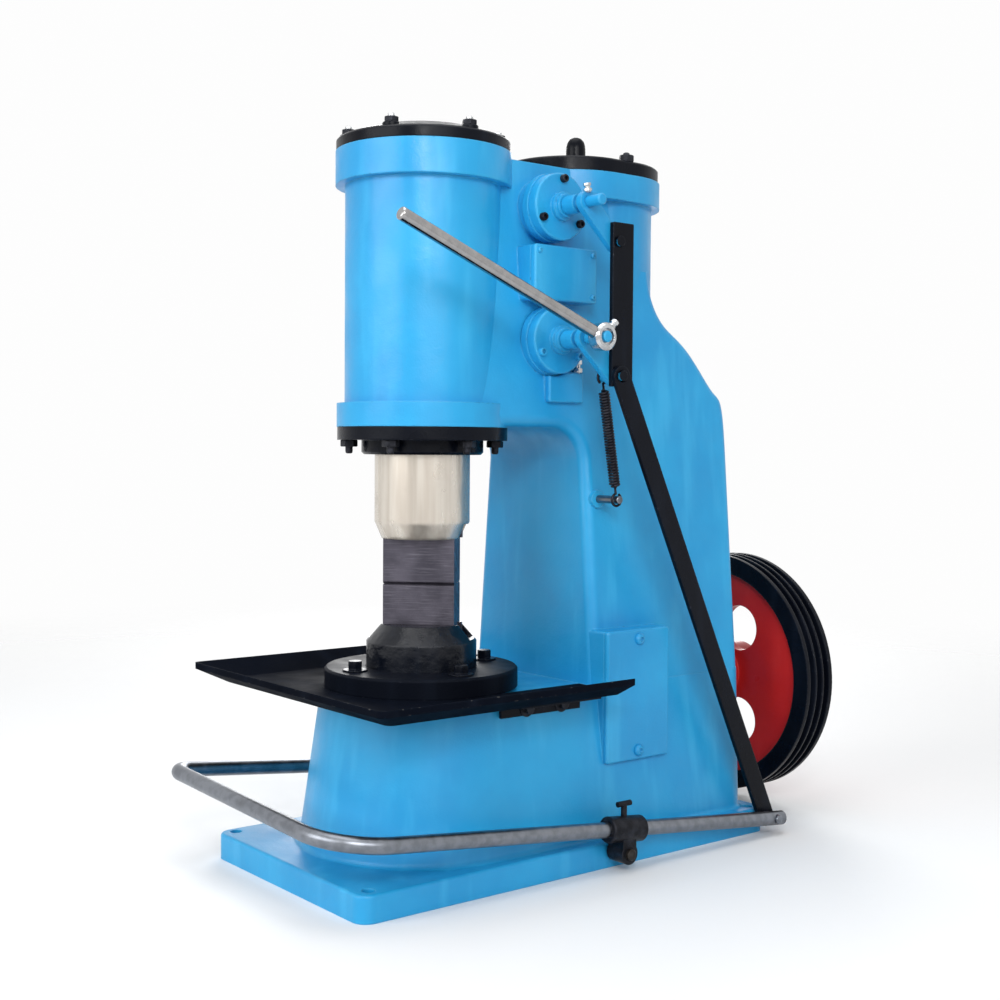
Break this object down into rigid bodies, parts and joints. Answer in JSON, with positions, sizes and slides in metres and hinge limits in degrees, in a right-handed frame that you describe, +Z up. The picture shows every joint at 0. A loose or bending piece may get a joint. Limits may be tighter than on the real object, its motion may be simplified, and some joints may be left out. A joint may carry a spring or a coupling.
{
  "type": "pneumatic forging hammer",
  "caption": "Self-contained pneumatic forging hammer: one-piece cast frame with ram, dies on an anvil pedestal, foot treadle and hand lever linked to rotary valves, and a rear belt pulley.",
  "frame": {"origin": "on the floor face of the base, straight below the ram axis", "axes": "+Z up along the ram axis, +Y to the rear toward the column and the belt pulley, +X to the side of the valves and the hand lever"},
  "size_m": [0.565, 1.1201, 1.214],
  "materials": {
    "blue_paint": "sky blue enamel on cast iron, glossy",
    "black_paint": "black enamel, glossy",
    "red_paint": "red enamel on cast iron",
    "ram_steel": "ground and polished",
    "die_steel": "ground, scratched across",
    "bar_steel": "bright drawn bar, handled",
    "spring_steel": "dark wound wire",
    "dark_iron": "plain cast, dark"
  },
  "bodies": {
    "frame": {"frame_casting": "blue_paint", "working_cylinder_cover": "black_paint", "compressor_cylinder_cover": "black_paint", "filler_cap": "black_paint", "cylinder_gland": "black_paint", "die_holder": "black_paint", "clamp_ring": "black_paint", "lower_die": "die_steel", "lower_die_key": "die_steel", "tray": "black_paint", "tray_bracket_right": "black_paint", "tray_bracket_left": "black_paint", "side_cover_right": "blue_paint", "valve_chest_cover": "blue_paint", "valve_stop_block": "blue_paint", "upper_valve_flange": "blue_paint", "lower_valve_flange": "blue_paint", "spring_anchor": "bar_steel", "return_spring": "spring_steel", "pivot_pin_right": "bar_steel", "pivot_pin_left": "bar_steel", "crank_bearing_housing": "blue_paint"},
    "pulley": {"pulley_rim": "black_paint", "pulley_web": "red_paint", "crankshaft": "bar_steel", "pulley_retainer": "bar_steel"},
    "ram": {"ram": "ram_steel", "upper_die": "die_steel", "upper_die_key": "die_steel"},
    "treadle": {"treadle_bar": "bar_steel", "treadle_clamp_right": "dark_iron", "treadle_clamp_left": "dark_iron", "clamp_tee_bolt_right": "dark_iron", "clamp_tee_bolt_left": "dark_iron", "foot_link_pin": "bar_steel"},
    "foot_link": {"foot_link": "black_paint"},
    "lower_valve": {"lower_valve_shaft": "blue_paint", "lower_valve_lever": "blue_paint", "hand_lever_hub": "ram_steel", "hand_lever_rod": "ram_steel"},
    "valve_link": {"valve_link": "black_paint"},
    "upper_valve": {"upper_valve_shaft": "blue_paint", "upper_valve_lever": "blue_paint"}
  },
  "joints": [
    {"name": "ram_slide", "type": "slide", "parent": "frame", "child": "ram", "axis": [0, 0, 1], "range_m": [0, 0.125]},
    {"name": "pulley_spin", "type": "hinge", "parent": "frame", "child": "pulley", "pos_m": [0, 0.73504, 0.248], "axis": [0, 1, 0], "continuous": true},
    {"name": "treadle_pivot", "type": "hinge", "parent": "frame", "child": "treadle", "pos_m": [0, 0.224, 0.03], "axis": [1, 0, 0], "range_deg": [0, 4], "stiffness_Nm_per_rad": 120, "springref_deg": -17.19},
    {"name": "foot_link_pivot", "type": "hinge", "parent": "treadle", "child": "foot_link", "pos_m": [0.2295, 0.58604, 0.02867], "axis": [1, 0, 0], "range_deg": [-5.9, 0]},
    {"name": "lower_valve_turn", "type": "hinge", "parent": "frame", "child": "lower_valve", "pos_m": [0.2, 0.165, 0.8519], "axis": [1, 0, 0], "range_deg": [0, 28.7], "deforming": ["return_spring"]},
    {"name": "valve_link_pivot", "type": "hinge", "parent": "lower_valve", "child": "valve_link", "pos_m": [0.2205, 0.224, 0.7929], "axis": [1, 0, 0], "range_deg": [-28.7, 0]},
    {"name": "upper_valve_turn", "type": "hinge", "parent": "frame", "child": "upper_valve", "pos_m": [0.2, 0.165, 1.06596], "axis": [1, 0, 0], "range_deg": [0, 28.7]}
  ],
  "couplings": [
    {"joint": "lower_valve_turn", "follows": "treadle_pivot", "ratio": 7.1052},
    {"joint": "upper_valve_turn", "follows": "treadle_pivot", "ratio": 7.1052},
    {"joint": "valve_link_pivot", "follows": "treadle_pivot", "ratio": -7.1052},
    {"joint": "foot_link_pivot", "follows": "treadle_pivot", "ratio": -1.4052}
  ]
}
